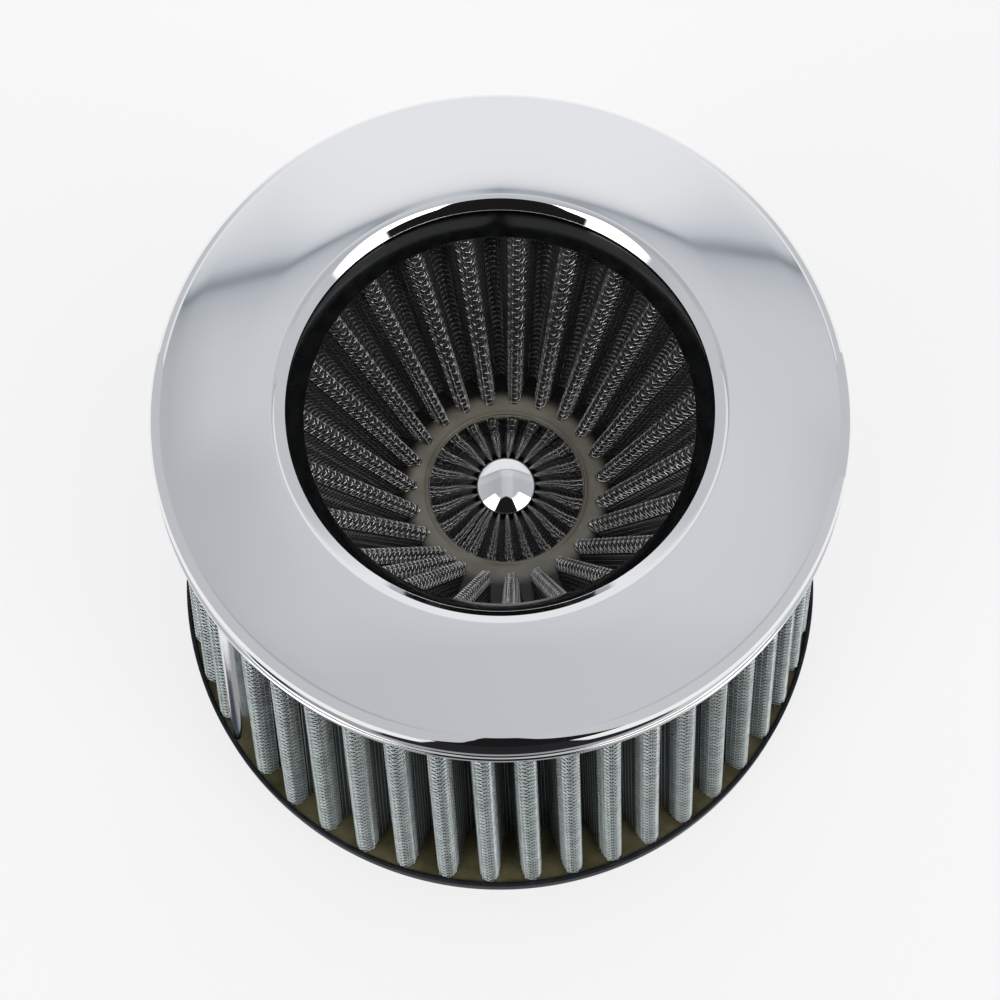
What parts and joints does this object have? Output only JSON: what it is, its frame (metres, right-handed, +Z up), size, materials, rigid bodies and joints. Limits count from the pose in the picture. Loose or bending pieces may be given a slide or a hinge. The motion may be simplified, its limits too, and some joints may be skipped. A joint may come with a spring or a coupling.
{
  "type": "performance air filter",
  "caption": "Round double-cone car air filter with pleated wire-faced media, a chromed top ring, a mirror dome and a clamped inlet neck.",
  "frame": {"origin": "centre of the inlet neck's end face, which the filter stands on", "axes": "+Z up the filter's axis towards the chromed ring, -Y the front of the picture, +X to its right"},
  "size_m": [0.1756, 0.1756, 0.162],
  "materials": {
    "chrome": "polished",
    "black_rubber": "glossy",
    "resin": "glossy",
    "wire_screen": "woven wire",
    "gauze": "oiled cotton",
    "clip_aluminium": "smooth",
    "clamp_steel": "zinc plated"
  },
  "bodies": {
    "root": {"top_ring": "chrome", "throat_ring": "black_rubber", "top_potting": "resin", "outer_screen": "wire_screen", "outer_gauze": "gauze", "outer_backing_screen": "wire_screen", "outer_seam_clip": "clip_aluminium", "inner_screen": "wire_screen", "inner_gauze": "gauze", "inner_backing_screen": "wire_screen", "end_potting": "resin", "mirror_dome": "chrome", "base_ring": "black_rubber", "base_potting": "resin", "clamp_band": "clamp_steel", "clamp_housing": "clamp_steel", "clamp_screw": "clamp_steel"}
  },
  "joints": []
}
